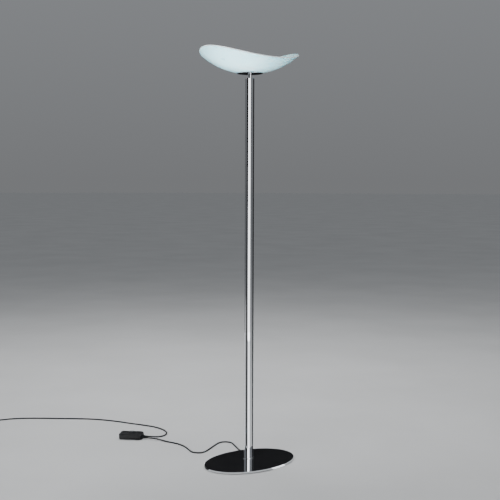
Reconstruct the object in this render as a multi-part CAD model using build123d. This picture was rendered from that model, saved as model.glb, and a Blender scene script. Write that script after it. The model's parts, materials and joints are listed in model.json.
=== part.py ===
from build123d import *
import os
from math import cos, pi, radians, sin, tan

# Torchiere floor lamp. Millimetres, +Z up, +X along the long axis of the oval base, pole and bowl.
# The origin is on the floor, on the axis of the pole.

# ---- driving dimensions -------------------------------------------------------------------------
CORD_D = 6.5                      # round two-core flexible lead
CORD_Z = 3.6                      # height of the lead's centre when it lies on the floor

BASE_HALF = (226.5, 153.0)        # half length and half width of the oval base plate
BASE_CENTRE = (-14.5, -27.0)      # the pole stands off the middle of the base
PAD_T = 2.0
PLATE_T = 8.0
PLATE_TOP = PAD_T + PLATE_T
PAD_INSET = 5.0
CHANNEL_ANGLE = 69.4              # degrees from +X, the way the lead leaves under the base
CHANNEL_END = 128.7               # along that way, from the pole's axis to the edge of the plate
CHANNEL_W = 8.4
CHANNEL_TOP = 7.5
BOLT_X = 16.0

POLE_HALF = (24.0, 12.0)          # half axes of the oval tube
POLE_WALL = 1.5
POLE_TOP = 1725.5
CAP_T = 2.5
NECK_R = 8.5
NECK_BOTTOM = POLE_TOP + CAP_T
NECK_TOP = 1743.45
STEM_R = 5.0
STEM_BORE_R = 4.0
STEM_BOTTOM = 1705.0
STEM_TOP = 1777.0

SPHERE_Z = 2085.0                 # centre of the sphere that the bowl was slumped over
GLASS_R = 337.0                   # outer radius of that sphere
GLASS_T = 5.0
GLASS_HALF = (241.0, 183.0)       # half axes of the bowl's outline, seen from above
HOLDER_R = 58.0
HOLDER_T = 2.5
GASKET_T = 1.9
GAP = 0.05                        # clearance between nested curved faces

TRAY_FLOOR = 1766.0
TRAY_TOP = 1806.0
TRAY_BOTTOM_HALF = (75.0, 30.0)
TRAY_TOP_HALF = (90.0, 50.0)
SHEET = 1.2
LAMP_Z = 1792.0                   # axis of the linear lamp
CAP_END = 58.8                    # half of the lamp's overall length
HINGE_Y = 56.0
HINGE_Z = 1809.5
COVER_Z = 1806.5
REFLECTOR_R = 50.0                # radius of the trough across Y
REFLECTOR_BOTTOM = 1784.0
REFLECTOR_SHEET = 0.6
REFLECTOR_SCREW_Y = 22.0

DIMMER_POSE = (-244.8, 635.3, -43.5)   # centre x, y and turn about Z of the foot dimmer
DIMMER_HALF = (58.0, 33.0)
DIMMER_SPLIT = 14.0
DIMMER_TOP = 29.0
DIMMER_WALL = 2.2
BUSH_Z = 8.0                      # height of the dimmer's two cord entries
BUSH_Y = 13.0
DIMMER_SCREWS = [(x, y) for x in (-46, 46) for y in (-22, 22)]

COIL_CENTRE = (-718.3, 1322.6)
COIL_INNER = 28.9
COIL_OUTER = 42.3
PLUG_TURN = -103.0
PLUG_Z = 7.2

# ---- routes of the lead, each a hand-set list of x, y, z ------------------------------------------
LAMP_LEAD = [
    (55.8, 148.5, 3.6), (72, 193, 3.6), (87, 233, 3.6), (100, 264, 3.6), (87, 294, 3.6), (55, 305, 3.6),
    (7, 278, 3.6), (-47, 243, 3.6), (-99, 212, 3.6), (-130, 220, 3.6), (-146, 248, 3.6), (-132, 297, 3.6),
    (-119, 350, 3.6), (-121, 409, 3.6), (-143, 465, 3.6), (-165.3, 541, 7.0), (-194.3, 569.1, 8.0),
]
MAINS_LEAD = [
    (-176.4, 588.0, 8.0), (-154.6, 567.3, 7.0), (-112, 560, 3.6), (-72, 582, 3.6), (-48, 624, 3.6),
    (-39, 678, 3.6), (-49, 738, 3.6), (-74, 798, 3.6), (-109, 863, 3.6), (-141, 934, 3.6),
    (-177, 998, 3.6), (-221, 1059, 3.6), (-283, 1118, 3.6), (-355, 1176, 3.6), (-425, 1236, 3.6),
    (-495, 1290, 3.6), (-557, 1327, 3.6), (-623, 1343, 3.6), (-668, 1353, 3.6), (-703, 1357, 3.6),
]
MAINS_TAIL = [
    (-753.9, 1316, 10.4), (-755, 1294, 10.6), (-761, 1263, 5.6), (-770, 1230, 5.4), (-777.3, 1200, 7.2),
]

os.makedirs("parts", exist_ok=True)


# ---- helpers ----------------------------------------------------------------------------------------
def save(name, shape):
    """Writes one piece, or one group of identical pieces, as a STEP file of its own."""
    export_step(shape, f"parts/{name}.step")


def group(shapes):
    return Compound(children=list(shapes))


def at_dimmer(shape):
    x, y, turn = DIMMER_POSE
    return Pos(x, y, 0) * Rot(0, 0, turn) * shape


def rounded_block(half_x, half_y, z0, z1, r):
    return Pos(0, 0, z0) * extrude(RectangleRounded(2 * half_x, 2 * half_y, r), z1 - z0)


def oval(half, z0, z1, grow=0.0):
    return Pos(0, 0, z0) * extrude(Ellipse(half[0] + grow, half[1] + grow), z1 - z0)


def cylinder(r, z0, z1, x=0.0, y=0.0):
    return Pos(x, y, z0) * extrude(Circle(r), z1 - z0)


def bar_x(r, x0, x1, y=0.0, z=0.0):
    """A round bar along X."""
    return Pos((x0 + x1) / 2, y, z) * Rot(0, 90, 0) * Cylinder(r, abs(x1 - x0))


def hexagon(across_flats, z0, z1):
    return Pos(0, 0, z0) * extrude(RegularPolygon(across_flats / 2, 6, major_radius=False), z1 - z0)


def box(x0, x1, y0, y1, z0, z1):
    return Pos((x0 + x1) / 2, (y0 + y1) / 2, (z0 + z1) / 2) * Box(x1 - x0, y1 - y0, z1 - z0)


def bend_radii(points):
    """One radius for each corner: 0.45 of the shorter run, over the tangent of half the turn."""
    steps = [Vector(*b) - Vector(*a) for a, b in zip(points, points[1:])]
    radii = []
    for before, after in zip(steps, steps[1:]):
        half_turn = radians(before.get_angle(after) / 2)
        radii.append(0.45 * min(before.length, after.length) / tan(half_turn))
    return radii


def tube_along(points, diameter, radii=None):
    """A round tube along straight runs joined by tangent arcs."""
    path = FilletPolyline(*points, radius=radii or bend_radii(points))
    return sweep(Plane(path @ 0, z_dir=path % 0) * Circle(diameter / 2), path), path.length


def cord(name, points):
    """A stretch of free lead; prints its bend radii and compares its volume with section times length."""
    tube, length = tube_along(points, CORD_D)
    print(name, "length", round(length), "tightest bend", round(min(bend_radii(points)), 1),
          "volume ratio", round(tube.volume / (length * pi * CORD_D**2 / 4), 4))
    print("   radii", [round(r) for r in bend_radii(points)])
    save(name, tube)


def sphere_shell(outer_r, inner_r):
    return Pos(0, 0, SPHERE_Z) * (Sphere(outer_r) - Sphere(inner_r))


def channel_point(distance):
    a = radians(CHANNEL_ANGLE)
    return distance * cos(a), distance * sin(a)


def channel_box(start, end, width, z0, z1):
    """A straight bar along the cable channel's direction."""
    return Rot(0, 0, CHANNEL_ANGLE) * box(start, end, -width / 2, width / 2, z0, z1)


# ---- base -------------------------------------------------------------------------------------------
def base_oval(z0, z1, grow=0.0):
    return Pos(BASE_CENTRE[0], BASE_CENTRE[1], 0) * oval(BASE_HALF, z0, z1, grow)


def base_plate():
    plate = base_oval(PAD_T, PLATE_TOP)
    plate = chamfer(plate.edges().filter_by(Plane.XY), 0.8)
    plate -= cylinder(8.5, 0, 20)
    plate -= channel_box(0, 140, CHANNEL_W, 0, CHANNEL_TOP)
    for x in (-BOLT_X, BOLT_X):
        plate -= cylinder(3.2, 0, 20, x)
        plate -= Pos(x, 0, PAD_T + 1.6) * Cone(6.4, 3.2, 3.2)
    return plate


def base_pad():
    pad = base_oval(0, PAD_T, -PAD_INSET)
    pad -= channel_box(0, 140, CHANNEL_W + 1, -1, PAD_T + 1)
    for x in (-BOLT_X, 0, BOLT_X):
        pad -= cylinder(8.5, -1, 5, x)
    return pad


def base_bolts():
    bolts = []
    for x in (-BOLT_X, BOLT_X):
        head = Pos(x, 0, PAD_T + 1.55) * Cone(6.0, 3.0, 3.0)
        socket = Pos(x, 0, PAD_T) * extrude(RegularPolygon(2, 6, major_radius=False), 2)
        bolts.append(head + cylinder(3.0, PAD_T + 3, 24, x) - socket)
    return group(bolts)


def foot_insert():
    block = oval(POLE_HALF, PLATE_TOP, 28, -POLE_WALL - GAP) - cylinder(8.0, 0, 40, 0, -1)
    for x in (-BOLT_X, BOLT_X):
        block -= cylinder(3.05, 0, 40, x)
    return block


def foot_collar():
    ring = oval(POLE_HALF, PLATE_TOP, PLATE_TOP + 3, 4.5)
    ring = chamfer(ring.edges().group_by(Axis.Z)[-1], 0.9)
    return ring - oval(POLE_HALF, 0, 40, GAP)


def base_cord_bush():
    """Grips the lead in the channel and tapers outside the plate's edge."""
    block = channel_box(112, CHANNEL_END + 1.5, 8.3, 0.2, 7.2)
    root = Plane.YZ.offset(CHANNEL_END + 1.5) * Pos(0, CORD_Z) * Ellipse(6.0, 3.5)
    tip = Plane.YZ.offset(158.6) * Pos(0, CORD_Z) * Circle(3.5)
    return block + Rot(0, 0, CHANNEL_ANGLE) * loft([root, tip])


# ---- pole -------------------------------------------------------------------------------------------
def pole():
    return oval(POLE_HALF, PLATE_TOP, POLE_TOP) - oval(POLE_HALF, 0, 2000, -POLE_WALL)


def pole_top_cap():
    top = oval(POLE_HALF, POLE_TOP, NECK_BOTTOM)
    top = chamfer(top.edges().group_by(Axis.Z)[-1], 0.6)
    spigot = oval(POLE_HALF, POLE_TOP - 12, POLE_TOP, -POLE_WALL - GAP)
    return top + spigot - cylinder(STEM_R + GAP, 1600, 1800)


def inner_lead():
    """From the bush in the base, round into the foot of the pole and up to the top of the stem."""
    foot = channel_point(-5)
    out = channel_point(112)
    points = [(out[0], out[1], CORD_Z), (foot[0], foot[1], CORD_Z), (foot[0], foot[1], 120),
              (0, 0, 420), (0, 0, STEM_TOP - 3)]
    tube, _ = tube_along(points, CORD_D, [15, 1500, 1500])
    return tube


def neck_sleeve():
    return cylinder(NECK_R, NECK_BOTTOM, NECK_TOP) - cylinder(NECK_R - 1.5, 1600, 1800)


def threaded_stem():
    return cylinder(STEM_R, STEM_BOTTOM, STEM_TOP) - cylinder(STEM_BORE_R, 1600, 1900)


def stem_nut(z0, z1):
    return hexagon(17, z0, z1) - cylinder(STEM_R + GAP, 1600, 1900)


# ---- bowl and its fixing ------------------------------------------------------------------------------
def glass_diffuser():
    """A slumped sheet. Its edge stands square to it, so a cone from the sphere's centre cuts it."""
    slopes = [half / (GLASS_R**2 - half**2) ** 0.5 for half in GLASS_HALF]
    sections = []
    for depth in (150.0, 345.0):
        sections.append(Pos(0, 0, SPHERE_Z - depth) * Ellipse(depth * slopes[0], depth * slopes[1]))
    bowl = sphere_shell(GLASS_R, GLASS_R - GLASS_T) & loft(sections, ruled=True)
    return bowl - cylinder(6.5, 1700, 1800)


def holder_plate():
    outer_r = GLASS_R + GASKET_T + 2 * GAP + HOLDER_T
    dish = sphere_shell(outer_r, outer_r - HOLDER_T) & cylinder(HOLDER_R, 1700, 1800)
    return dish - cylinder(STEM_R + 0.3, 1700, 1800)


def gasket(outer_sphere_r, inner_sphere_r, outer_r, inner_r):
    ring = sphere_shell(outer_sphere_r, inner_sphere_r) & cylinder(outer_r, 1700, 1800)
    return ring - cylinder(inner_r, 1700, 1800)


def stem_spacer():
    """Turned spacer whose lower face follows the inside of the bowl."""
    inner_sphere_r = GLASS_R - GLASS_T - GASKET_T - 2 * GAP
    body = cylinder(18, 1750, TRAY_FLOOR) & (Pos(0, 0, SPHERE_Z) * Sphere(inner_sphere_r))
    return body - cylinder(STEM_R + GAP, 1700, 1800)


# ---- lamp unit ------------------------------------------------------------------------------------------
def tray_form(inset, z0, z1):
    """The flared form of the tray, moved in by inset, between two heights of the flare."""
    sections = []
    for z in (z0, z1):
        share = (z - TRAY_FLOOR) / (TRAY_TOP - TRAY_FLOOR)
        half = [b + (t - b) * share - inset for b, t in zip(TRAY_BOTTOM_HALF, TRAY_TOP_HALF)]
        sections.append(Pos(0, 0, z) * RectangleRounded(2 * half[0], 2 * half[1], 14 - inset))
    return loft(sections, ruled=True)


def lamp_tray():
    tray = tray_form(0, TRAY_FLOOR, TRAY_TOP) - tray_form(SHEET, TRAY_FLOOR + SHEET, TRAY_TOP)
    tray -= cylinder(STEM_R + GAP, 1700, 1900)
    for x in (-68, -52, 52, 68):
        ear = box(x - 2, x + 2, 49.5, HINGE_Y, 1798, HINGE_Z)
        ear += bar_x(3.6, x - 2, x + 2, HINGE_Y, HINGE_Z)
        ear += box(x - 2, x + 2, 49.5, HINGE_Y + 3.6, 1798, HINGE_Z - 1)
        ear -= box(x - 3, x + 3, 40, 52.2, TRAY_TOP, 1820)
        ear -= tray_form(SHEET, TRAY_FLOOR + SHEET, TRAY_TOP)
        tray += ear
        tray -= bar_x(1.5, x - 3, x + 3, HINGE_Y, HINGE_Z)
    return tray


def holder_bracket():
    z0 = TRAY_FLOOR + SHEET
    strip = box(-73.5, 73.5, -9, 9, z0, z0 + 1.5)
    for side in (-1, 1):
        strip += box(min(side * 72, side * 73.5), max(side * 72, side * 73.5), -9, 9, z0, LAMP_Z + 9)
    return strip - cylinder(STEM_R + GAP, 1700, 1900)


def lampholder(side):
    body = box(57, 72, -9, 9, LAMP_Z - 9, LAMP_Z + 9)
    body = chamfer(body.edges().filter_by(Axis.X), 1.5)
    body -= bar_x(5.6, 50, 61, 0, LAMP_Z)
    body -= bar_x(3.05, 55, 70, 0, LAMP_Z)
    return body if side > 0 else Rot(0, 0, 180) * body


def contact(side):
    plunger = bar_x(3.0, 61.6, 65.6, 0, LAMP_Z) + bar_x(1.8, 57.15, 62, 0, LAMP_Z)
    return plunger if side > 0 else Rot(0, 0, 180) * plunger


def lamp_tube():
    tube = bar_x(5, -40, 40, 0, LAMP_Z) - bar_x(4, -38.5, 38.5, 0, LAMP_Z)
    for side in (-1, 1):
        low, high = sorted((side * 39, side * 46.9))
        tube += box(low, high, -4, 4, LAMP_Z - 1.6, LAMP_Z + 1.6)
    return tube


def lamp_caps():
    caps = []
    for side in (-1, 1):
        cap = bar_x(4.2, side * 47, side * CAP_END, 0, LAMP_Z)
        cap -= bar_x(2.3, side * 57.1, side * 60, 0, LAMP_Z)
        caps.append(cap)
    return group(caps)


def trough_z(y):
    """Height of the upper face of the reflector, an arc across Y."""
    return REFLECTOR_BOTTOM + REFLECTOR_R - (REFLECTOR_R**2 - y * y) ** 0.5


def reflector():
    axis_z = REFLECTOR_BOTTOM + REFLECTOR_R
    trough = bar_x(REFLECTOR_R + REFLECTOR_SHEET, -54, 54, 0, axis_z) - bar_x(REFLECTOR_R, -55, 55, 0, axis_z)
    sheet = trough & box(-54, 54, -38, 38, 1780, 1805)
    for y in (-REFLECTOR_SCREW_Y, REFLECTOR_SCREW_Y):
        sheet -= cylinder(1.6, 1780, 1800, 0, y)
    return sheet


def reflector_posts():
    posts = []
    for y in (-REFLECTOR_SCREW_Y, REFLECTOR_SCREW_Y):
        top = trough_z(abs(y) - 3.0) - 0.7
        posts.append(cylinder(3.0, TRAY_FLOOR + SHEET, top, 0, y))
    return group(posts)


def reflector_screws():
    screws = []
    for y in (-REFLECTOR_SCREW_Y, REFLECTOR_SCREW_Y):
        z = trough_z(abs(y) + 2.8)
        head = cylinder(2.8, z, z + 1.6, 0, y) - box(-0.4, 0.4, y - 4, y + 4, z + 1.0, z + 3)
        shank_bottom = trough_z(abs(y) - 3.0) - 0.7
        screws.append(head + cylinder(1.5, shank_bottom, z + 0.5, 0, y))
    return group(screws)


def terminal_block():
    block = box(30, 54, -27, -11, TRAY_FLOOR + SHEET, 1779)
    for y in (-23, -15):
        block -= cylinder(2.2, 1775, 1790, 37, y)
        block -= cylinder(2.2, 1775, 1790, 47, y)
    return block


def terminal_screws():
    screws = []
    for x in (37, 47):
        for y in (-23, -15):
            screws.append(cylinder(2.1, 1775, 1778, x, y) - box(x - 3, x + 3, y - 0.35, y + 0.35, 1777, 1780))
    return group(screws)


def lamp_wires():
    left = [(29.9, -14.5, 1772), (-65, -14.5, 1772), (-65, -14.5, 1790), (-65, -9.05, 1790)]
    right = [(54.1, -19, 1773), (66, -19, 1773), (66, -19, 1790), (66, -9.05, 1790)]
    return group([tube_along(left, 2.2, [5, 3])[0], tube_along(right, 2.2, [5, 3])[0]])


def supply_cores():
    cores = []
    ways = ((1.5, (20, -15, 1780.6), (29.6, -20, 1777)), (-1.5, (10, -19.5, 1780.6), (29.6, -24.5, 1776.6)))
    for x0, middle, end in ways:
        points = [(x0, 0, STEM_TOP - 2.9), (x0, 0, 1780.6), middle, end]
        cores.append(tube_along(points, 2.2, [3.0, 12])[0])
    return group(cores)


def cover_frame():
    """Hinged frame with a ledge for the glass and two knuckles at the rear."""
    top = COVER_Z + 6
    frame = rounded_block(92, 52, COVER_Z, top, 15)
    frame -= rounded_block(78, 40, COVER_Z - 1, top + 1, 6)
    frame -= rounded_block(82, 44, COVER_Z + 2, top + 1, 6)
    for side in (-1, 1):
        low, high = sorted((side * 54.4, side * 65.6))
        frame += box(low, high, 51, HINGE_Y, COVER_Z + 0.5, top - 0.5)
        frame += bar_x(3.5, low, high, HINGE_Y, HINGE_Z)
        frame -= bar_x(1.55, low - 1, high + 1, HINGE_Y, HINGE_Z)
    return frame


def safety_glass():
    return rounded_block(81.6, 43.6, COVER_Z + 2, COVER_Z + 5.8, 5.6)


def cover_clips():
    clips = []
    for x in (-50, 50):
        for side in (-1, 1):
            low, high = sorted((side * 38, side * 50))
            clips.append(box(x - 6, x + 6, low, high, COVER_Z + 6.0, COVER_Z + 7.0))
    return group(clips)


def hinge_pins():
    return group([bar_x(1.5, side * 50, side * 70.5, HINGE_Y, HINGE_Z) for side in (-1, 1)])


# ---- foot dimmer, drawn along X about its own centre ---------------------------------------------------
def dimmer_outline(inset, z0, z1):
    return rounded_block(DIMMER_HALF[0] - inset, DIMMER_HALF[1] - inset, z0, z1, 15 - inset)


def dimmer_base_shell():
    shell = dimmer_outline(0, 1.2, DIMMER_SPLIT)
    shell = fillet(shell.edges().group_by(Axis.Z)[0], 2)
    shell -= dimmer_outline(DIMMER_WALL, 1.2 + DIMMER_WALL, 40)
    for x, y in DIMMER_SCREWS:
        shell += cylinder(3.5, 1.2 + DIMMER_WALL - 0.2, DIMMER_SPLIT - 0.5, x, y)
        shell -= cylinder(1.55, 0, 30, x, y)
    for y in (-BUSH_Y, BUSH_Y):
        shell -= bar_x(5.05, 50, 60, y, BUSH_Z)
    return shell


def dimmer_top_shell():
    shell = dimmer_outline(0, DIMMER_SPLIT, DIMMER_TOP)
    shell = fillet(shell.edges().group_by(Axis.Z)[-1], 7)
    inner = dimmer_outline(DIMMER_WALL, DIMMER_SPLIT - 5, DIMMER_TOP - DIMMER_WALL)
    shell -= fillet(inner.edges().group_by(Axis.Z)[-1], 5)
    shell -= rounded_block(33, 17, DIMMER_TOP - 1.0, 40, 8)
    shell -= box(-24, 24, -2.2, 2.2, 20, 40)
    for x, y in DIMMER_SCREWS:
        shell += cylinder(3.5, DIMMER_SPLIT, DIMMER_TOP - 2, x, y) - cylinder(1.25, 0, 22, x, y)
    return shell


def dimmer_slider():
    """Grip pad, neck through the slot and the tongue that works the potentiometer."""
    pad = rounded_block(13, 11, DIMMER_TOP - 0.6, DIMMER_TOP + 6, 5)
    pad = fillet(pad.edges().group_by(Axis.Z)[-1], 2)
    for x in (-6, -2, 2, 6):
        pad -= Pos(x, 0, DIMMER_TOP + 6.4) * Rot(90, 0, 0) * Cylinder(1.0, 16)
    return pad + box(-4, 4, -1.8, 1.8, 19.0, DIMMER_TOP) + box(-2, 2, -0.9, 0.9, 16.0, 20)


def dimmer_pot():
    body = box(-32, 32, -5.5, 5.5, 10.65, 17.8)
    return body - box(-22, 22, -1.2, 1.2, 14, 20)


def dimmer_board():
    return box(-41.5, 41.5, -28, 28, 9.0, 10.6)


def dimmer_choke():
    x, y = (-26, 17)
    ring = cylinder(10, 10.65, 18.5, x, y) - cylinder(4.5, 0, 30, x, y)
    return fillet(ring.edges().filter_by(GeomType.CIRCLE), 1.5)


def dimmer_heatsink():
    return box(2, 30, 20.0, 21.6, 10.65, 22)


def dimmer_triac():
    return box(11, 21, 15.4, 19.95, 10.65, 20)


def dimmer_capacitors():
    return group([box(x, x + 16, -25, -17, 10.65, 20) for x in (-38, -14)])


def dimmer_terminals():
    block = box(12, 34, -25, -12, 10.65, 20)
    for x in (17.5, 28.5):
        block -= cylinder(2.4, 16, 25, x, -18.5)
    return block


def dimmer_screws():
    screws = []
    for x, y in DIMMER_SCREWS:
        head = cylinder(2.6, 0.6, 1.2, x, y)
        screws.append(head + cylinder(1.5, 1.1, DIMMER_SPLIT - 0.1, x, y))
    return group(screws)


def dimmer_feet():
    return group([cylinder(5, 0, 1.2, x, y) for x in (-36, 36) for y in (-22, 22)])


def dimmer_bush(y):
    """Round grommet through the end wall with a tapered sleeve outside."""
    flange = bar_x(5.0, 54, 58.2, y, BUSH_Z)
    collar = bar_x(6.0, 58.1, 60, y, BUSH_Z)
    taper = Pos(71, y, BUSH_Z) * Rot(0, 90, 0) * Cone(5.4, 3.6, 22)
    return flange + collar + taper


# ---- coil, plug -----------------------------------------------------------------------------------------
def mains_coil():
    """Outer form of two turns side by side on the floor with a strand lying over them."""
    low = cylinder(COIL_OUTER, 0.3, 7.0) - cylinder(COIL_INNER, -1, 30)
    strand = cylinder(39.4, 6.9, 13.4) - cylinder(32.0, -1, 30)
    strand &= box(-45, 20, 0, 45, 6, 14)
    return Pos(COIL_CENTRE[0], COIL_CENTRE[1], 0) * (low + strand)


def at_plug(shape):
    x, y, _ = MAINS_TAIL[-1]
    return Pos(x, y, PLUG_Z) * Rot(0, 0, PLUG_TURN) * shape


def plug_section(x, width, height, r):
    return Plane.YZ.offset(x) * RectangleRounded(width, height, r)


def plug_body():
    body = loft([plug_section(26, 14, 10, 4), plug_section(36, 25, 12.5, 5)])
    body += loft([plug_section(36, 25, 12.5, 5), plug_section(48, 34, 13.8, 5)])
    body += extrude(plug_section(48, 34, 13.8, 5), 14)
    for y in (-9.3, 9.3):
        body += bar_x(1.9, 62, 72, y) - bar_x(1.5, 50, 73, y)
        body -= bar_x(1.5, 50, 73, y)
    return body


def plug_pins():
    pins = []
    for y in (-9.3, 9.3):
        pin = bar_x(1.48, 52, 72, y) + bar_x(2.0, 72, 81, y)
        pins.append(fillet(pin.edges().group_by(Axis.X)[-1], 1.2))
    return group(pins)


def plug_bush():
    return Pos(13, 0, 0) * Rot(0, 90, 0) * Cone(3.6, 5.0, 26)


# ---- write every piece ------------------------------------------------------------------------------------
save("base_plate", base_plate())
save("base_pad", base_pad())
save("base_bolts", base_bolts())
save("base_cord_bush", base_cord_bush())
save("foot_insert", foot_insert())
save("foot_collar", foot_collar())
save("pole", pole())
save("pole_top_cap", pole_top_cap())
save("inner_lead", inner_lead())
save("neck_sleeve", neck_sleeve())
save("threaded_stem", threaded_stem())
save("stem_nut_lower", stem_nut(POLE_TOP - 17.5, POLE_TOP - 12.1))
save("stem_nut_upper", stem_nut(1769.9, 1774.9))
save("stem_washer", cylinder(10, 1768.75, 1769.85) - cylinder(STEM_R + GAP, 1700, 1900))

save("glass_diffuser", glass_diffuser())
save("holder_plate", holder_plate())
save("lower_gasket", gasket(GLASS_R + GASKET_T + GAP, GLASS_R + GAP, 45, STEM_R + 0.6))
save("upper_gasket", gasket(GLASS_R - GLASS_T - GAP, GLASS_R - GLASS_T - GASKET_T - GAP, 22, STEM_R + 0.6))
save("stem_spacer", stem_spacer())

save("lamp_tray", lamp_tray())
save("holder_bracket", holder_bracket())
save("lampholder_left", lampholder(-1))
save("lampholder_right", lampholder(1))
save("contact_left", contact(-1))
save("contact_right", contact(1))
save("lamp_tube", lamp_tube())
save("lamp_caps", lamp_caps())
save("lamp_filament", bar_x(0.9, -34, 34, 0, LAMP_Z))
save("reflector", reflector())
save("reflector_posts", reflector_posts())
save("reflector_screws", reflector_screws())
save("terminal_block", terminal_block())
save("terminal_screws", terminal_screws())
save("lamp_wires", lamp_wires())
save("supply_cores", supply_cores())
save("cover_frame", cover_frame())
save("safety_glass", safety_glass())
save("cover_clips", cover_clips())
save("hinge_pins", hinge_pins())

save("dimmer_base_shell", at_dimmer(dimmer_base_shell()))
save("dimmer_top_shell", at_dimmer(dimmer_top_shell()))
save("dimmer_slider", at_dimmer(dimmer_slider()))
save("dimmer_pot", at_dimmer(dimmer_pot()))
save("dimmer_board", at_dimmer(dimmer_board()))
save("dimmer_choke", at_dimmer(dimmer_choke()))
save("dimmer_heatsink", at_dimmer(dimmer_heatsink()))
save("dimmer_triac", at_dimmer(dimmer_triac()))
save("dimmer_capacitors", at_dimmer(dimmer_capacitors()))
save("dimmer_terminals", at_dimmer(dimmer_terminals()))
save("dimmer_screws", at_dimmer(dimmer_screws()))
save("dimmer_feet", at_dimmer(dimmer_feet()))
save("dimmer_bush_lamp", at_dimmer(dimmer_bush(-BUSH_Y)))
save("dimmer_bush_mains", at_dimmer(dimmer_bush(BUSH_Y)))

cord("lamp_lead", LAMP_LEAD)
cord("mains_lead", MAINS_LEAD)
cord("mains_tail", MAINS_TAIL)
save("mains_coil", mains_coil())
save("plug_body", at_plug(plug_body()))
save("plug_pins", at_plug(plug_pins()))
save("plug_bush", at_plug(plug_bush()))
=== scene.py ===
import json
import math

import bpy
import bmesh
from mathutils import Matrix, Vector


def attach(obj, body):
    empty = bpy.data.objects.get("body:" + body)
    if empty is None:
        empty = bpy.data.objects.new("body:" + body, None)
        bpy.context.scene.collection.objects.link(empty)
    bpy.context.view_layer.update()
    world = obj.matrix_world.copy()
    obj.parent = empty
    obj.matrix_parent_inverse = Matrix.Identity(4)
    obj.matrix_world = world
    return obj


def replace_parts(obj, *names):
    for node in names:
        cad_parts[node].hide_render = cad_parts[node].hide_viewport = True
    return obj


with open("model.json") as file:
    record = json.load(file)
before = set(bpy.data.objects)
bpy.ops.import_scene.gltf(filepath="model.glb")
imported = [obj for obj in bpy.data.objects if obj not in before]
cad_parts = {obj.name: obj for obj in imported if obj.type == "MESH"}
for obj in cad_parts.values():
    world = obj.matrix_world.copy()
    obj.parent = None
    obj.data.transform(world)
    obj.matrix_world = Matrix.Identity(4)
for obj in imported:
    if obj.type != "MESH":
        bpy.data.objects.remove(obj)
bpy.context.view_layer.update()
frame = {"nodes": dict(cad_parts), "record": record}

# Torchiere floor lamp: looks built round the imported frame.
# Metres, +Z up, origin on the floor on the pole's axis.

MM = 0.001

# ---- camera --------------------------------------------------------------------------------------
CAMERA_AT = (-2.554, -3.334, 1.2836)
CAMERA_TURN = -37.5               # degrees about Z; 0 looks along +Y
CAMERA_DIP = 4.354                # degrees below the horizon
CAMERA_ROLL = 0.19                # degrees about the view, anticlockwise
CAMERA_LENS = 67.4                # mm, on a 36 mm sensor

# ---- bowl ----------------------------------------------------------------------------------------
SPHERE_CENTRE = Vector((0, 0, 2085 * MM))
GLASS_OUTER = 337 * MM
GLASS_INNER = 332 * MM
GLASS_HALF = (241 * MM, 183 * MM)
GLASS_HOLE = 6.5 * MM
GLASS_ARRIS = 1.4 * MM            # radius of the polished edge's two corners

# ---- pole ----------------------------------------------------------------------------------------
PLATE_TOP = 10 * MM
POLE_HALF = (24 * MM, 12 * MM)
POLE_WALL = 1.5 * MM
POLE_TOP = 1725.5 * MM
CAP_TOP = 1728 * MM
CAP_SPIGOT = 12 * MM
STEM_HOLE = 5.05 * MM
NECK_TOP = 1743.45 * MM
NECK_R = 8.5 * MM

# ---- lamp ----------------------------------------------------------------------------------------
LAMP_AXIS_Z = 1792 * MM
TUBE_HALF = 40 * MM
TUBE_R = 5 * MM
PINCH_END = 46.9 * MM
PINCH_HALF = (4.0 * MM, 1.6 * MM)
FILAMENT_HALF = 34 * MM
FILAMENT_R = 0.7 * MM
FILAMENT_WIRE = 0.14 * MM         # radius

# ---- lead ----------------------------------------------------------------------------------------
CORD_D = 6.5 * MM
COIL_CENTRE = Vector((-718.3 * MM, 1322.6 * MM, 0))
COIL_START = 84.5                 # degrees
COIL_TURNS = 2.265
COIL_POINTS = 16                  # for each turn
COIL_WIDE = 39.9 * MM
COIL_NARROW = 32.9 * MM
COIL_TOP_R = 36.3 * MM
COIL_TIE_TURN = 132               # degrees
FLOOR_Z = 3.6 * MM
STRAND_Z = 10.2 * MM

LAMP_LEAD = [
    (0.0558, 0.1485, 0.0036), (0.072, 0.193, 0.0036), (0.087, 0.233, 0.0036), (0.100, 0.264, 0.0036),
    (0.087, 0.294, 0.0036), (0.055, 0.305, 0.0036), (0.007, 0.278, 0.0036), (-0.047, 0.243, 0.0036),
    (-0.099, 0.212, 0.0036), (-0.130, 0.220, 0.0036), (-0.146, 0.248, 0.0036), (-0.132, 0.297, 0.0036),
    (-0.119, 0.350, 0.0036), (-0.121, 0.409, 0.0036), (-0.143, 0.465, 0.0036), (-0.1653, 0.541, 0.0070),
    (-0.1943, 0.5691, 0.0080),
]
MAINS_LEAD = [
    (-0.1764, 0.5880, 0.0080), (-0.1546, 0.5673, 0.0070), (-0.112, 0.560, 0.0036), (-0.072, 0.582, 0.0036),
    (-0.048, 0.624, 0.0036), (-0.039, 0.678, 0.0036), (-0.049, 0.738, 0.0036), (-0.074, 0.798, 0.0036),
    (-0.109, 0.863, 0.0036), (-0.141, 0.934, 0.0036), (-0.177, 0.998, 0.0036), (-0.221, 1.059, 0.0036),
    (-0.283, 1.118, 0.0036), (-0.355, 1.176, 0.0036), (-0.425, 1.236, 0.0036), (-0.495, 1.290, 0.0036),
    (-0.557, 1.327, 0.0036), (-0.623, 1.343, 0.0036), (-0.668, 1.353, 0.0036), (-0.703, 1.357, 0.0036),
]
MAINS_TAIL = [
    (-0.7539, 1.316, 0.0104), (-0.755, 1.294, 0.0106), (-0.761, 1.263, 0.0056), (-0.770, 1.230, 0.0054),
    (-0.7773, 1.200, 0.0072),
]

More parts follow.
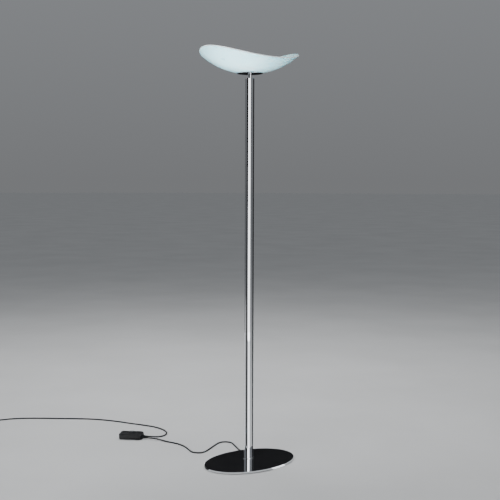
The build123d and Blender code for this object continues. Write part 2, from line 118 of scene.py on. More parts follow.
# ---- dimmer, bushes and plug ---------------------------------------------------------------------
DIMMER_AT = Matrix.Translation((-244.8 * MM, 635.3 * MM, 0)) @ Matrix.Rotation(math.radians(-43.5), 4, "Z")
DIMMER_TOP = 29 * MM
DIMMER_BUSH_Y = 13 * MM
DIMMER_BUSH_Z = 8 * MM
DIMMER_BUSH_END = 82 * MM
PLUG_BUSH = 26 * MM
PLUG_PIN_Y = 9.3 * MM
PLUG_AT = Matrix.Translation((-777.3 * MM, 1200 * MM, 7.2 * MM)) @ Matrix.Rotation(math.radians(-103), 4, "Z")
BASE_BUSH_TURN = math.radians(69.4)
BASE_EDGE = 128.7                 # mm along the channel, from the pole's axis to the plate's edge

ROUND = 96                        # points round a lathed piece and the floor
OVAL_ROUND = 192                  # points round the pole

# ---- studio --------------------------------------------------------------------------------------
FLOOR_REACH = 80.0
FLAG_NEAR = 0.03                  # the flags' floor wedges run from here, except in front,
FLAG_FRONT = 0.25                 # where the base's rim mirrors the floor,
FLAG_FAR = 3.6                    # to here, where their walls stand
WORLD_HORIZON = (0.183, 0.188, 0.195)
WORLD_WALL = (0.235, 0.245, 0.258)
WORLD_TOP = (0.34, 0.35, 0.36)


# ---- mesh helpers --------------------------------------------------------------------------------
def make_mesh(name, verts, faces, slot_name, body="lamp", sharp=38):
    """A mesh piece that rides on a body, smooth except where it folds by more than sharp degrees."""
    mesh = bpy.data.meshes.new(name)
    mesh.from_pydata([tuple(v) for v in verts], [], faces)
    shape = bmesh.new()
    shape.from_mesh(mesh)
    bmesh.ops.recalc_face_normals(shape, faces=shape.faces)
    shape.to_mesh(mesh)
    shape.free()
    mesh.shade_smooth()
    mesh.set_sharp_from_angle(angle=math.radians(sharp))
    piece = bpy.data.objects.new(name, mesh)
    bpy.context.scene.collection.objects.link(piece)
    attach(piece, body)
    mesh.materials.append(material(slot_name))
    return piece


def around(count):
    """Cosine and sine at equal steps round a circle."""
    for i in range(count):
        a = 2 * math.pi * i / count
        yield math.cos(a), math.sin(a)


def skin(rings, closed=False):
    """Vertices and faces of a tube through rings of equal length; its ends are capped unless it is closed."""
    count = len(rings[0])
    verts = [point for ring in rings for point in ring]
    faces = []
    spans = len(rings) if closed else len(rings) - 1
    for i in range(spans):
        a = i * count
        b = (i + 1) % len(rings) * count
        for j in range(count):
            k = (j + 1) % count
            faces.append((a + j, a + k, b + k, b + j))
    if not closed:
        faces.append(tuple(range(count)))
        faces.append(tuple(range(len(verts) - 1, len(verts) - count - 1, -1)))
    return verts, faces


def soften(profile, reach, steps=4):
    """A 2-D profile with each inner corner rounded over up to reach on both sides."""
    soft = [profile[0]]
    for before, corner, after in zip(profile, profile[1:], profile[2:]):
        a, b, c = Vector(before), Vector(corner), Vector(after)
        start = b + (a - b) * min(0.45, reach / (a - b).length)
        end = b + (c - b) * min(0.45, reach / (c - b).length)
        for i in range(steps + 1):
            t = i / steps
            soft.append(tuple(start * (1 - t) ** 2 + b * 2 * t * (1 - t) + end * t * t))
    soft.append(profile[-1])
    return soft


def lathe(name, profile, place, slot_name, closed=False):
    """Turns a profile of (distance along local X, radius) about X; a closed profile makes a ring."""
    rings = [[place @ Vector((x, r * c, r * s)) for c, s in around(ROUND)] for x, r in profile]
    return make_mesh(name, *skin(rings, closed), slot_name)


def rib(place, x, z, half, wide, high, taper, end):
    """A rounded rib along local Y, which thins towards its tips.

    half is half its length, taper the length of each tip, and end how thick the tips are beside its middle.
    """
    rings = []
    for y, grow in ((-half, end), (-half + taper, 0.8), (0, 1), (half - taper, 0.8), (half, end)):
        rings.append([place @ Vector((x + wide * grow * c, y, z + high * grow * s)) for c, s in around(10)])
    return skin(rings)


def joined(skins):
    """The vertices and faces of several skins, as one."""
    verts = []
    faces = []
    for more_verts, more_faces in skins:
        faces += [tuple(k + len(verts) for k in face) for face in more_faces]
        verts += more_verts
    return verts, faces


def rounded_ring(half_y, half_z, corner, per_corner=10):
    """Points of a rounded rectangle in local Y and Z."""
    ring = []
    for quarter in range(4):
        sy = 1 if quarter in (0, 3) else -1
        sz = 1 if quarter in (0, 1) else -1
        for i in range(per_corner):
            a = math.radians(90 * quarter + 90 * i / (per_corner - 1))
            y = sy * (half_y - corner) + corner * math.cos(a)
            z = sz * (half_z - corner) + corner * math.sin(a)
            ring.append((y, z))
    return ring


def loft(stations, place):
    """A skin through rounded rectangles: (x, half width, half height, corner radius), in millimetres."""
    rings = []
    for x, half_y, half_z, corner in stations:
        ring = rounded_ring(half_y * MM, half_z * MM, corner * MM)
        rings.append([place @ Vector((x * MM, y, z)) for y, z in ring])
    return skin(rings)


# ---- materials -----------------------------------------------------------------------------------
def node(tree, kind, **inputs):
    made = tree.nodes.new("ShaderNode" + kind)
    for key, value in inputs.items():
        made.inputs[key.replace("_", " ")].default_value = value
    return made


def noise(tree, scale, stretch=(1, 1, 1), detail=4.0, rough=0.55):
    """Noise in the piece's own coordinates, in cycles a metre; stretch makes it finer along an axis."""
    place = tree.nodes.new("ShaderNodeTexCoord")
    spread = tree.nodes.new("ShaderNodeMapping")
    spread.inputs["Scale"].default_value = stretch
    tree.links.new(place.outputs["Object"], spread.inputs["Vector"])
    made = node(tree, "TexNoise", Scale=scale, Detail=detail, Roughness=rough)
    tree.links.new(spread.outputs["Vector"], made.inputs["Vector"])
    return made.outputs["Fac"]


def vary(tree, source, low, high, at=(0.3, 0.7)):
    made = node(tree, "MapRange")
    made.inputs["From Min"].default_value, made.inputs["From Max"].default_value = at
    made.inputs["To Min"].default_value = low
    made.inputs["To Max"].default_value = high
    tree.links.new(source, made.inputs["Value"])
    return made.outputs["Result"]


def blend_colours(tree, source, first, second, at=(0.35, 0.65)):
    ramp = tree.nodes.new("ShaderNodeValToRGB")
    for stop, where, colour in zip(ramp.color_ramp.elements, at, (first, second)):
        stop.position = where
        stop.color = (*colour, 1)
    tree.links.new(source, ramp.inputs["Fac"])
    return ramp.outputs["Color"]


def surface(name, colours, roughness, mottle, grain=None, **sockets):
    """A principled material. mottle is the noise behind colour and roughness; grain is (noise, height)."""
    made = bpy.data.materials.new(name)
    made.use_nodes = True
    tree = made.node_tree
    shader = tree.nodes["Principled BSDF"]
    for key, value in sockets.items():
        shader.inputs[key.replace("_", " ")].default_value = value
    patches = noise(tree, **mottle)
    tree.links.new(blend_colours(tree, patches, *colours), shader.inputs["Base Color"])
    tree.links.new(vary(tree, patches, *roughness), shader.inputs["Roughness"])
    if grain:
        settings, height = grain
        bump = node(tree, "Bump", Strength=1.0, Distance=height)
        tree.links.new(noise(tree, **settings), bump.inputs["Height"])
        tree.links.new(bump.outputs["Normal"], shader.inputs["Normal"])
    return made


def chrome():
    """Mirror plate, very slightly cloudy."""
    return surface("chrome", ((0.76, 0.77, 0.79), (0.82, 0.83, 0.85)), (0.018, 0.034),
                   {"scale": 14, "detail": 6},
                   Metallic=1.0)


def steel():
    return surface("steel", ((0.50, 0.50, 0.50), (0.64, 0.63, 0.61)), (0.26, 0.42), {"scale": 90},
                   ({"scale": 900}, 0.00002), Metallic=1.0)


def satin_glass():
    """Slumped glass, etched to a soft satin, so that light spreads inside the sheet."""
    return surface("satin_glass", ((0.40, 0.68, 0.80), (0.48, 0.75, 0.86)), (0.26, 0.36),
                   {"scale": 9, "detail": 3},
                   ({"scale": 700, "detail": 2}, 0.00001), Subsurface_Weight=0.7,
                   Subsurface_Radius=(0.7, 1.0, 1.1), Subsurface_Scale=0.02, IOR=1.5, Coat_Weight=0.5,
                   Coat_Roughness=0.16)


def glass_edge():
    """The ground and polished edge, painted near white and given a faint glow of its own: painted light that
    stands in for the light the sheet pipes out to it.
    """
    # painted glow: the emission lights the edge under any lamp, and the near-white colour is a painted
    # highlight
    return surface("glass_edge", ((0.92, 0.98, 1.0), (0.96, 0.99, 1.0)), (0.10, 0.18), {"scale": 120},
                   ({"scale": 500}, 0.00001), IOR=1.52, Coat_Weight=1.0, Coat_Roughness=0.05,
                   Emission_Color=(0.80, 0.95, 1, 1), Emission_Strength=0.4)


def clear_glass():
    return surface("clear_glass", ((0.90, 0.96, 0.94), (0.94, 0.98, 0.97)), (0.0, 0.03), {"scale": 30},
                   Transmission_Weight=1.0, IOR=1.5)


def quartz():
    return surface("quartz", ((0.95, 0.96, 0.97), (0.98, 0.98, 0.99)), (0.0, 0.04), {"scale": 200},
                   Transmission_Weight=1.0, IOR=1.46)


def white_enamel():
    return surface("white_enamel", ((0.80, 0.80, 0.77), (0.86, 0.86, 0.84)), (0.25, 0.36), {"scale": 40},
                   ({"scale": 1200, "detail": 2}, 0.00003), Coat_Weight=0.3, Coat_Roughness=0.15)


def anodised():
    """Hammered reflector sheet, bright anodised."""
    return surface("reflector", ((0.80, 0.81, 0.82), (0.88, 0.88, 0.89)), (0.12, 0.22), {"scale": 60},
                   ({"scale": 330, "detail": 0}, 0.0006), Metallic=1.0)


def turned_aluminium():
    return surface("spacer", ((0.62, 0.62, 0.63), (0.74, 0.74, 0.75)), (0.24, 0.38),
                   {"scale": 60, "stretch": (1, 1, 18)},
                   ({"scale": 120, "stretch": (1, 1, 30)}, 0.00003), Metallic=1.0)


def ceramic():
    return surface("ceramic", ((0.80, 0.77, 0.70), (0.87, 0.85, 0.80)), (0.30, 0.5), {"scale": 150},
                   ({"scale": 1500}, 0.00004))


def contact_metal():
    return surface("contact", ((0.66, 0.62, 0.50), (0.78, 0.75, 0.66)), (0.16, 0.30), {"scale": 200},
                   ({"scale": 1500}, 0.00001), Metallic=1.0)


def tungsten():
    return surface("tungsten", ((0.22, 0.22, 0.23), (0.36, 0.36, 0.38)), (0.30, 0.45),
                   {"scale": 900}, Metallic=1.0)


def rubber_pad():
    return surface("pad", ((0.020, 0.020, 0.021), (0.034, 0.034, 0.035)), (0.70, 0.85), {"scale": 70},
                   ({"scale": 900}, 0.00008))


def silicone():
    return surface("silicone", ((0.70, 0.71, 0.71), (0.78, 0.79, 0.79)), (0.40, 0.55), {"scale": 150},
                   Subsurface_Weight=0.4, Subsurface_Scale=0.003)


def cord_rubber():
    """Extruded sheath, a little shiny, with a fine grain."""
    return surface("cord", ((0.012, 0.012, 0.013), (0.026, 0.026, 0.028)), (0.30, 0.46), {"scale": 120},
                   ({"scale": 1100, "detail": 3}, 0.00003), Specular_IOR_Level=0.55)


def black_plastic():
    """Moulded casing with a fine spark-eroded texture."""
    return surface("black_plastic", ((0.012, 0.012, 0.013), (0.022, 0.022, 0.024)), (0.28, 0.42),
                   {"scale": 90},
                   ({"scale": 2200, "detail": 1}, 0.00005), Specular_IOR_Level=0.5)


def slider_plastic():
    return surface("slider_plastic", ((0.040, 0.041, 0.045), (0.065, 0.066, 0.070)), (0.45, 0.58),
                   {"scale": 160},
                   ({"scale": 2600, "detail": 1}, 0.00006))


def board():
    return surface("board", ((0.30, 0.21, 0.09), (0.40, 0.30, 0.14)), (0.45, 0.6), {"scale": 300})


def copper():
    return surface("copper", ((0.55, 0.26, 0.12), (0.75, 0.42, 0.24)), (0.20, 0.35),
                   {"scale": 900, "stretch": (1, 1, 0.2)}, ({"scale": 1400}, 0.0001), Metallic=0.8)


def component():
    return surface("component", ((0.48, 0.36, 0.07), (0.60, 0.46, 0.12)), (0.35, 0.5), {"scale": 200})


def wire_sleeve():
    """Braided glass-fibre sleeving."""
    return surface("wire_sleeve", ((0.70, 0.68, 0.60), (0.86, 0.84, 0.78)), (0.7, 0.85), {"scale": 1500},
                   ({"scale": 2200, "stretch": (1, 2, 2)}, 0.0002))


def floor_paint():
    """Pale matt studio floor."""
    return surface("floor", ((0.56, 0.565, 0.57), (0.60, 0.605, 0.61)), (0.62, 0.72), {"scale": 1.2},
                   ({"scale": 160}, 0.0001), Specular_IOR_Level=0.0)


def flag_cloth():
    return surface("flag_cloth", ((0.008, 0.008, 0.009), (0.014, 0.014, 0.015)), (0.9, 1.0), {"scale": 3})


def bright_cloth():
    return surface("bright_cloth", ((0.8, 0.8, 0.8), (0.84, 0.84, 0.84)), (0.9, 1.0), {"scale": 3},
                   Emission_Color=(0.95, 0.97, 1, 1), Emission_Strength=1.5)


def terminal_china():
    return surface("terminal", ((0.76, 0.74, 0.68), (0.84, 0.82, 0.77)), (0.32, 0.46), {"scale": 160},
                   ({"scale": 1300}, 0.00004))


MAKERS = {
    "chrome": chrome, "steel": steel, "satin_glass": satin_glass, "glass_edge": glass_edge,
    "clear_glass": clear_glass, "quartz": quartz, "white_enamel": white_enamel, "reflector": anodised,
    "spacer": turned_aluminium, "ceramic": ceramic, "contact": contact_metal, "tungsten": tungsten,
    "pad": rubber_pad, "silicone": silicone, "cord": cord_rubber, "black_plastic": black_plastic,
    "slider_plastic": slider_plastic, "board": board, "copper": copper, "component": component,
    "wire_sleeve": wire_sleeve, "terminal": terminal_china, "floor": floor_paint, "flag_cloth": flag_cloth,
    "bright_cloth": bright_cloth,
}
made_materials = {}


def material(name):
    if name not in made_materials:
        made_materials[name] = MAKERS[name]()
    return made_materials[name]


def paint_frame():
    """Gives every CAD node the material of its slot in the record."""
    for entry in frame["record"]["subparts"]:
        piece = frame["nodes"][entry["node"]]
        for place in piece.material_slots:
            place.material = material(entry["material_slot"])


# ---- camera and lead -----------------------------------------------------------------------------
def add_camera():
    lens = bpy.data.cameras.new("camera")
    lens.lens = CAMERA_LENS
    lens.sensor_width = 36
    camera = bpy.data.objects.new("camera", lens)
    turn = Matrix.Rotation(math.radians(CAMERA_TURN), 4, "Z")
    dip = Matrix.Rotation(math.radians(90 - CAMERA_DIP), 4, "X")
    roll = Matrix.Rotation(math.radians(CAMERA_ROLL), 4, "Z")
    camera.location = CAMERA_AT
    camera.rotation_euler = (turn @ dip @ roll).to_euler()
    bpy.context.scene.collection.objects.link(camera)
    bpy.context.scene.camera = camera


def nurbs_curve(name, route):
    curve = bpy.data.curves.new(name, "CURVE")
    curve.dimensions = "3D"
    curve.resolution_u = 12
    spline = curve.splines.new("NURBS")
    spline.points.add(len(route) - 1)
    for point, place in zip(spline.points, route):
        point.co = (*place, 1)
    spline.order_u = 3
    spline.use_endpoint_u = True
    return curve


def lead(name, route):
    """A stretch of round black lead along a smooth line."""
    curve = nurbs_curve(name, route)
    curve.bevel_depth = CORD_D / 2
    curve.bevel_resolution = 6
    curve.use_fill_caps = True
    piece = bpy.data.objects.new(name, curve)
    bpy.context.scene.collection.objects.link(piece)
    curve.materials.append(material("cord"))
    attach(piece, "lamp")
    return piece


def ease(value, start, end):
    t = min(1.0, max(0.0, (value - start) / (end - start)))
    return t * t * (3 - 2 * t)


def coil_route():
    """Two turns side by side on the floor, then a quarter turn that lies over them."""
    steps = int(COIL_TURNS * COIL_POINTS)
    route = []
    for i in range(1, steps):
        s = i / COIL_POINTS
        r = COIL_WIDE + (COIL_NARROW - COIL_WIDE) * ease(s, 0.78, 1.02)
        r += (COIL_TOP_R - COIL_NARROW) * ease(s, 1.78, 2.02)
        z = FLOOR_Z + (STRAND_Z - FLOOR_Z) * ease(s, 1.78, 2.02)
        a = math.radians(COIL_START) + 2 * math.pi * s
        route.append(COIL_CENTRE + Vector((r * math.cos(a), r * math.sin(a), z)))
    return route


def bush_profile(length, root, tip, ribs):
    """A tapered strain relief with soft rings cut round it."""
    profile = [(0, root * 0.6), (0, root)]
    pitch = length * 0.72 / ribs
    for i in range(ribs):
        x = length * 0.12 + i * pitch
        r = root + (tip - root) * (x / length)
        profile += [(x, r), (x + 0.16 * pitch, r * 0.84), (x + 0.42 * pitch, r * 0.84), (x + 0.58 * pitch, r)]
    profile += [(length * 0.9, tip * 1.02), (length, tip), (length, tip * 0.6)]
    return soften(profile, 0.45 * MM, 3)


def base_bush():
    """Grips the lead in the channel under the plate, and tapers in ribs outside the plate's edge."""
    stations = [
        (112, 3.6, 3.2, 0.6), (112.4, 4.1, 3.5, 0.6), (BASE_EDGE + 0.9, 4.1, 3.5, 0.6),
        (BASE_EDGE + 1.0, 5.6, 3.3, 2.2), (BASE_EDGE + 1.5, 6.1, 3.5, 3.4), (BASE_EDGE + 3.5, 6.0, 3.5, 3.45),
    ]
    for i in range(5):
        x = BASE_EDGE + 5.2 + 4.4 * i
        wide = 5.9 - 0.47 * i
        stations += [(x, wide, 3.5, 3.45), (x + 0.5, wide * 0.82, 3.1, 2.9), (x + 1.7, wide * 0.81, 3.1, 2.9),
                     (x + 2.2, wide * 0.97, 3.5, 3.45)]
    stations += [(157.9, 3.6, 3.45, 3.4), (158.6, 3.3, 3.2, 3.1)]
    place = Matrix.Rotation(BASE_BUSH_TURN, 4, "Z") @ Matrix.Translation((0, 0, FLOOR_Z + 0.1 * MM))
    piece = make_mesh("base_strain_relief", *loft(stations, place), "black_plastic")
    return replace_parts(piece, "base_cord_bush")


def dimmer_bush(name, side, cad_node):
    """Strain relief in the dimmer's end wall, with a flange and a ribbed sleeve outside it."""
    place = DIMMER_AT @ Matrix.Translation((0, side * DIMMER_BUSH_Y, DIMMER_BUSH_Z))
    start = 54 * MM
    wall = 58.1 * MM
    flange = 60 * MM
    profile = [(start, 2 * MM), (start, 4.9 * MM), (wall, 4.9 * MM), (wall, 5.9 * MM), (flange, 5.9 * MM)]
    profile = soften(profile, 0.4 * MM, 3)
    sleeve = bush_profile(DIMMER_BUSH_END - flange, 5.3 * MM, 3.5 * MM, 4)
    profile += [(flange + x, r) for x, r in sleeve[1:]]
    piece = lathe(name, profile, place, "black_plastic")
    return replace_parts(piece, cad_node)


def plug_bush():
    """Ribbed strain relief, thick at the plug and thin where the lead leaves it."""
    outline = [(PLUG_BUSH - x, r) for x, r in bush_profile(PLUG_BUSH, 5.0 * MM, 3.5 * MM, 5)]
    piece = lathe("plug_strain_relief", outline, PLUG_AT, "black_plastic")
    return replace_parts(piece, "plug_bush")


def plug_shell():
    """Flat two-pin plug: a waisted grip that widens to the pin face."""
    stations = [
        (26, 6.2, 4.6, 3.4), (26.6, 7.0, 5.0, 3.8), (30, 8.6, 5.4, 4.2), (33, 10.6, 5.8, 4.4),
        (36, 12.5, 6.2, 4.8), (40, 14.2, 6.5, 4.8), (44, 15.6, 6.7, 4.9), (48, 16.6, 6.85, 5.0),
        (52, 17.0, 6.9, 5.0), (60.6, 17.0, 6.9, 5.0), (61.6, 16.6, 6.5, 4.6), (62, 15.9, 5.8, 4.0),
    ]
    shell = make_mesh("plug_shell", *loft(stations, PLUG_AT), "black_plastic")
    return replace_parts(shell, "plug_body")


def plug_details():
    """The pins' insulating sleeves, and grip ribs on both flats."""
    outline = [(60 * MM, 1.0 * MM), (60 * MM, 1.9 * MM), (72 * MM, 1.9 * MM), (72 * MM, 1.52 * MM)]
    made = []
    for side, name in ((-1, "plug_sleeve_left"), (1, "plug_sleeve_right")):
        place = PLUG_AT @ Matrix.Translation((0, side * PLUG_PIN_Y, 0))
        made.append(lathe(name, soften(outline, 0.2 * MM, 3), place, "black_plastic"))
    ribs = []
    for flat in (-1, 1):
        for i in range(5):
            x = (38 + 3 * i) * MM
            half = (7.0 + 0.7 * i) * MM
            top = flat * (6.2 + 0.14 * i) * MM
            ribs.append(rib(PLUG_AT, x, top, half, 0.7 * MM, 0.25 * MM, 1 * MM, 0.15))
    made.append(make_mesh("plug_grip_ribs", *joined(ribs), "black_plastic"))
    return made


def coil_tie():
    """A thin hook-and-loop strap round the coil where three strands lie together."""
    turn = math.radians(COIL_TIE_TURN)
    out = Vector((math.cos(turn), math.sin(turn), 0))
    tangent = Vector((-math.sin(turn), math.cos(turn), 0))
    strands = [Vector((32.3 * MM, FLOOR_Z)), Vector((39.1 * MM, FLOOR_Z)), Vector((35.7 * MM, STRAND_Z))]
    floor_gap = 0.02 * MM
    outline = []
    for c, s in around(48):
        way = Vector((c, s))
        outline.append((max(strands, key=way.dot), way))
    rings = []
    for across, thick in ((-4.5, 0.05), (-4.2, 0.33), (4.2, 0.33), (4.5, 0.05), (4.2, -0.02), (-4.2, -0.02)):
        ring = []
        for strand, way in outline:
            p = strand + way * (CORD_D / 2 + thick * MM)
            place = COIL_CENTRE + out * p[0] + tangent * (across * MM)
            place.z = max(p[1], floor_gap)
            ring.append(place)
        rings.append(ring)
    return make_mesh("coil_tie", *skin(rings, closed=True), "slider_plastic")


def add_leads():
    base_bush()
    lamp_bush = dimmer_bush("dimmer_relief_lamp", -1, "dimmer_bush_lamp")
    mains_bush = dimmer_bush("dimmer_relief_mains", 1, "dimmer_bush_mains")

    lamp_lead = lead("lead_to_dimmer", LAMP_LEAD)
    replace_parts(lamp_lead, "lamp_lead")
    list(dimmer_details())

    mains_lead = lead("lead_to_plug", MAINS_LEAD + coil_route() + MAINS_TAIL)
    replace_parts(mains_lead, "mains_lead", "mains_coil", "mains_tail")
    plug = [plug_bush(), plug_shell(), *plug_details(), frame["nodes"]["plug_pins"], coil_tie()]


# ---- dimmer --------------------------------------------------------------------------------------
def dimmer_details():
    """Foot-grip ribs on both ends of the top shell, and a plain wedge that widens towards full light."""
    ribs = []
    for side in (-1, 1):
        for i in range(3):
            x = side * (35.5 + 2.9 * i) * MM
            half = (19 - 0.9 * i) * MM
            ribs.append(rib(DIMMER_AT, x, DIMMER_TOP - 0.3 * MM, half, 0.8 * MM, 0.9 * MM, 0.8 * MM, 0.2))
    grip = make_mesh("dimmer_grip_ribs", *joined(ribs), "black_plastic")
    low, high = DIMMER_TOP - 0.4 * MM, DIMMER_TOP + 0.35 * MM
    outline = [(-24, 20.2), (24, 18.6), (24, 21.8)]
    rings = [[DIMMER_AT @ Vector((x * MM, y * MM, z)) for x, y in outline] for z in (low, high)]
    wedge = make_mesh("dimmer_level_wedge", *skin(rings), "slider_plastic")
    return [grip, wedge]


# ---- bowl ----------------------------------------------------------------------------------------
def bowl_ring(share, radius, count):
    """One ring of the bowl, radius from the sphere's centre; share is 0 on the axis and 1 at the outline."""
    slopes = [half / math.sqrt(GLASS_OUTER**2 - half**2) for half in GLASS_HALF]
    ring = []
    for c, s in around(count):
        way = Vector((slopes[0] * share * c, slopes[1] * share * s, -1)).normalized()
        ring.append(SPHERE_CENTRE + way * radius)
    return ring


def hole_ring(radius, count):
    """The stem hole's edge in one face of the bowl, radius from the sphere's centre."""
    drop = math.sqrt(radius**2 - GLASS_HOLE**2)
    return [SPHERE_CENTRE + Vector((GLASS_HOLE * c, GLASS_HOLE * s, -drop)) for c, s in around(count)]


def bowl_glass():
    """The slumped sheet, with a ground edge whose two corners are rounded."""
    count = 240
    rows = 40
    arris_share = GLASS_ARRIS / GLASS_HALF[0]
    start = 0.06                      # share of the first ring outside the hole
    shares = [start + (1 - arris_share - start) * i / rows for i in range(rows + 1)]
    outer = [hole_ring(GLASS_OUTER, count)] + [bowl_ring(s, GLASS_OUTER, count) for s in shares]
    inner = [hole_ring(GLASS_INNER, count)] + [bowl_ring(s, GLASS_INNER, count) for s in shares]
    edge = []
    for i in range(1, 6):
        a = math.radians(90 * i / 6)
        share = 1 - arris_share * (1 - math.sin(a))
        edge.append((share, GLASS_OUTER - GLASS_ARRIS * (1 - math.cos(a))))
    mirrored = [(share, GLASS_OUTER + GLASS_INNER - r) for share, r in reversed(edge)]
    edge += [(1, GLASS_OUTER - GLASS_ARRIS), (1, GLASS_INNER + GLASS_ARRIS)] + mirrored
    edge_rings = [bowl_ring(share, r, count) for share, r in edge]
    rings = outer + edge_rings + list(reversed(inner))
    piece = make_mesh("bowl_glass", *skin(rings, closed=True), "satin_glass", sharp=60)
    piece.data.materials.append(material("glass_edge"))
    first = (len(outer) - 1) * count
    last = (len(outer) + len(edge_rings)) * count
    for face in piece.data.polygons:
        if first <= face.index < last:
            face.material_index = 1
    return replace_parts(piece, "glass_diffuser")


def upright(z=0.0):
    """A place whose local X axis points up from a height on the pole's axis."""
    return Matrix.Translation((0, 0, z)) @ Matrix.Rotation(math.radians(-90), 4, "Y")


def bowl_holder():
    """Spun dish under the bowl, with a rolled edge."""
    outer = 341.5 * MM
    inner = 339.0 * MM
    reach = 58 * MM
    bore = 5.3 * MM
    roll = 1.25 * MM
    dish_end = reach - 1.3 * MM
    steps = 18
    centre_z = SPHERE_CENTRE.z
    radii = [bore + (dish_end - bore) * i / steps for i in range(steps + 1)]
    profile = [(centre_z - math.sqrt(outer**2 - r**2), r) for r in radii]
    middle = centre_z - math.sqrt(((outer + inner) / 2)**2 - (reach - roll)**2)
    for i in range(1, 8):
        a = math.radians(-90 + 180 * i / 8)
        profile.append((middle + roll * math.sin(a), reach - roll + roll * math.cos(a)))
    profile += [(centre_z - math.sqrt(inner**2 - r**2), r) for r in reversed(radii)]
    piece = lathe("bowl_holder", profile, upright(), "chrome", closed=True)
    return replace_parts(piece, "holder_plate")


# ---- pole ----------------------------------------------------------------------------------------
def oval_ring(z, grow):
    """An oval round the pole's axis, as wide as the pole plus grow on every side."""
    return [Vector(((POLE_HALF[0] + grow) * c, (POLE_HALF[1] + grow) * s, z)) for c, s in around(OVAL_ROUND)]


def round_ring(z, radius):
    return [Vector((radius * c, radius * s, z)) for c, s in around(OVAL_ROUND)]


def rounded_top(z, grow, radius, steps=5):
    """Oval rings that turn an upright wall into a flat top over a quarter round."""
    rings = []
    for i in range(steps + 1):
        a = math.radians(90 * i / steps)
        rings.append(oval_ring(z - radius * (1 - math.sin(a)), grow - radius * (1 - math.cos(a))))
    return rings


def pole_pieces():
    """The plated tube, its foot ring and its top plug, with soft edges that catch the light."""
    tube = [oval_ring(PLATE_TOP, 0), oval_ring(POLE_TOP, 0)]
    tube += [oval_ring(POLE_TOP, -POLE_WALL), oval_ring(PLATE_TOP, -POLE_WALL)]
    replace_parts(make_mesh("pole_tube", *skin(tube, closed=True), "chrome"), "pole")

    foot = [oval_ring(PLATE_TOP, 0.05 * MM), oval_ring(PLATE_TOP, 4.5 * MM)]
    foot += rounded_top(PLATE_TOP + 3 * MM, 4.5 * MM, 1.4 * MM) + [oval_ring(PLATE_TOP + 3 * MM, 0.05 * MM)]
    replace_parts(make_mesh("pole_foot_ring", *skin(foot, closed=True), "chrome"), "foot_collar")

    inside = -POLE_WALL - 0.05 * MM
    plug = [round_ring(POLE_TOP - CAP_SPIGOT, STEM_HOLE), oval_ring(POLE_TOP - CAP_SPIGOT, inside)]
    plug += [oval_ring(POLE_TOP, inside), oval_ring(POLE_TOP, 0)]
    plug += rounded_top(CAP_TOP, 0, 1.2 * MM) + [round_ring(CAP_TOP, STEM_HOLE)]
    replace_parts(make_mesh("pole_top_plug", *skin(plug, closed=True), "chrome"), "pole_top_cap")

    soft = 0.5 * MM
    neck = [(CAP_TOP, NECK_R - 1.5 * MM), (CAP_TOP, NECK_R - soft), (CAP_TOP + soft, NECK_R)]
    neck += [(NECK_TOP - soft, NECK_R), (NECK_TOP, NECK_R - soft), (NECK_TOP, NECK_R - 1.5 * MM)]
    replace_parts(lathe("neck_tube", neck, upright(), "chrome", closed=True), "neck_sleeve")


# ---- lamp ----------------------------------------------------------------------------------------
def lamp_envelope():
    """Quartz tube pinched flat at both ends."""
    stations = [(PINCH_END, 1.0), (TUBE_HALF + 1.2 * MM, 1.0), (TUBE_HALF, 0.8), (TUBE_HALF - 1.6 * MM, 0.35),
                (TUBE_HALF - 3.2 * MM, 0.08), (TUBE_HALF - 4.5 * MM, 0.0)]
    rings = []
    for x, flat in [(-x, f) for x, f in stations] + list(reversed(stations)):
        half_y = TUBE_R + (PINCH_HALF[0] - TUBE_R) * flat
        half_z = TUBE_R + (PINCH_HALF[1] - TUBE_R) * flat
        rings.append([Vector((x, half_y * c, LAMP_AXIS_Z + half_z * s)) for c, s in around(48)])
    piece = make_mesh("lamp_envelope", *skin(rings), "quartz")
    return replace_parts(piece, "lamp_tube")


def filament():
    """Coiled tungsten wire."""
    turns = 74
    per_turn = 10
    total = turns * per_turn
    line = []
    for i in range(total + 1):
        a = 2 * math.pi * i / per_turn
        x = -FILAMENT_HALF + 2 * FILAMENT_HALF * i / total
        line.append(Vector((x, FILAMENT_R * math.cos(a), LAMP_AXIS_Z + FILAMENT_R * math.sin(a))))
    rings = []
    for i, point in enumerate(line):
        ahead = line[min(i + 1, total)] - line[max(i - 1, 0)]
        side = ahead.cross(Vector((1, 0, 0))).normalized()
        up = side.cross(ahead).normalized()
        rings.append([point + (side * c + up * s) * FILAMENT_WIRE for c, s in around(6)])
    piece = make_mesh("filament_coil", *skin(rings), "tungsten", sharp=180)
    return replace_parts(piece, "lamp_filament")


# ---- studio --------------------------------------------------------------------------------------
def camera_place(right, away, z):
    """A point given to the right of the pole and away from the camera, in the frame's own axes."""
    return Matrix.Rotation(math.radians(CAMERA_TURN), 4, "Z") @ Vector((right, away, z))


def softbox(name, place, aim, width, height, watts, colour=(1, 1, 1), shines=True, mirrored=True):
    """A soft light. One that doesn't shine is only mirrored in gloss; one that isn't mirrored only shines."""
    light = bpy.data.lights.new(name, "AREA")
    light.shape = "RECTANGLE"
    light.size = width
    light.size_y = height
    light.energy = watts
    light.color = colour
    lamp = bpy.data.objects.new(name, light)
    lamp.location = place
    lamp.rotation_euler = (Vector(aim) - Vector(place)).to_track_quat("-Z", "Y").to_euler()
    lamp.visible_camera = False
    lamp.visible_diffuse = shines
    lamp.visible_glossy = mirrored
    bpy.context.scene.collection.objects.link(lamp)


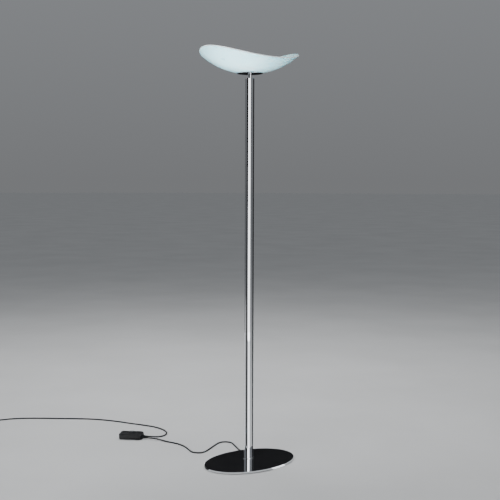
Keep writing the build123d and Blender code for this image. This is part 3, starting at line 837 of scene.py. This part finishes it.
def flag(name, turn, spread, cloth, wall=3.0, start=FLAG_NEAR):
    """A studio card that only reflections see: a wedge on the floor, with a wall of that height at its end.

    turn is its bearing round the lamp from the camera, and spread its width, both in degrees.
    """
    steps = 8
    lift = Vector((0, 0, 1 * MM))
    near = []
    far = []
    for i in range(steps + 1):
        a = math.radians(turn - spread / 2 + spread * i / steps)
        way = camera_place(math.sin(a), -math.cos(a), 0)
        near.append(way * start + lift)
        far.append(way * FLAG_FAR)
    rows = [near, far]
    if wall:
        rows.append([p + Vector((0, 0, wall)) for p in far])
    faces = []
    for row in range(len(rows) - 1):
        for i in range(steps):
            a = row * (steps + 1) + i
            faces.append((a, a + 1, a + steps + 2, a + steps + 1))
    mesh = bpy.data.meshes.new(name)
    mesh.from_pydata([p for row in rows for p in row], [], faces)
    card = bpy.data.objects.new(name, mesh)
    mesh.materials.append(material(cloth))
    bpy.context.scene.collection.objects.link(card)
    card.visible_camera = False
    card.visible_diffuse = False
    card.visible_shadow = False
    card.visible_transmission = False


def add_floor():
    mesh = bpy.data.meshes.new("floor")
    rim = [(FLOOR_REACH * c, FLOOR_REACH * s, 0) for c, s in around(ROUND)]
    mesh.from_pydata(rim, [], [tuple(range(ROUND))])
    floor = bpy.data.objects.new("floor", mesh)
    bpy.context.scene.collection.objects.link(floor)
    mesh.materials.append(material("floor"))


def add_world():
    """A studio that is dim at the horizon and brighter overhead."""
    world = bpy.data.worlds.new("studio")
    bpy.context.scene.world = world
    world.use_nodes = True
    tree = world.node_tree
    way = tree.nodes.new("ShaderNodeTexCoord")
    height = tree.nodes.new("ShaderNodeSeparateXYZ")
    tree.links.new(way.outputs["Generated"], height.inputs["Vector"])
    ramp = tree.nodes.new("ShaderNodeValToRGB")
    stops = ((0.0, WORLD_HORIZON), (0.22, WORLD_WALL), (1.0, WORLD_TOP))
    while len(ramp.color_ramp.elements) < len(stops):
        ramp.color_ramp.elements.new(0.5)
    for stop, (where, colour) in zip(ramp.color_ramp.elements, stops):
        stop.position = where
        stop.color = (*colour, 1)
    tree.links.new(height.outputs["Z"], ramp.inputs["Fac"])
    tree.links.new(ramp.outputs["Color"], tree.nodes["Background"].inputs["Color"])


def add_studio():
    add_floor()
    add_world()
    softbox("strip_right", camera_place(2.15, -1.85, 1.3), (0, 0, 1.25), 1.5, 2.5, 34,
            (0.98, 0.99, 1), shines=False)
    softbox("front_left", camera_place(-2.6, -4.2, 3.0), (0, 0, 1.0), 3.0, 2.4, 120, mirrored=False)
    softbox("top", camera_place(-0.4, 1.6, 4.2), (0, 0, 0.3), 2.4, 2.4, 165, mirrored=False)
    softbox("under_bowl", camera_place(-0.15, -0.31, 1.43), (-0.06, -0.10, 1.78), 0.14, 0.14, 7.0,
            (0.95, 0.98, 1), mirrored=False)
    flag("dark_flag_front", 9, 38, "flag_cloth", start=FLAG_FRONT)
    for i, (turn, spread) in enumerate(((125, 46), (182, 30), (235, 16), (300, 20))):
        flag(f"dark_flag_{i}", turn, spread, "flag_cloth")
    for i, (turn, spread) in enumerate(((52, 26), (268, 24))):
        flag(f"bright_flag_{i}", turn, spread, "bright_cloth", wall=0)


add_camera()
paint_frame()
add_leads()
bowl_glass()
bowl_holder()
pole_pieces()
lamp_envelope()
filament()
add_studio()
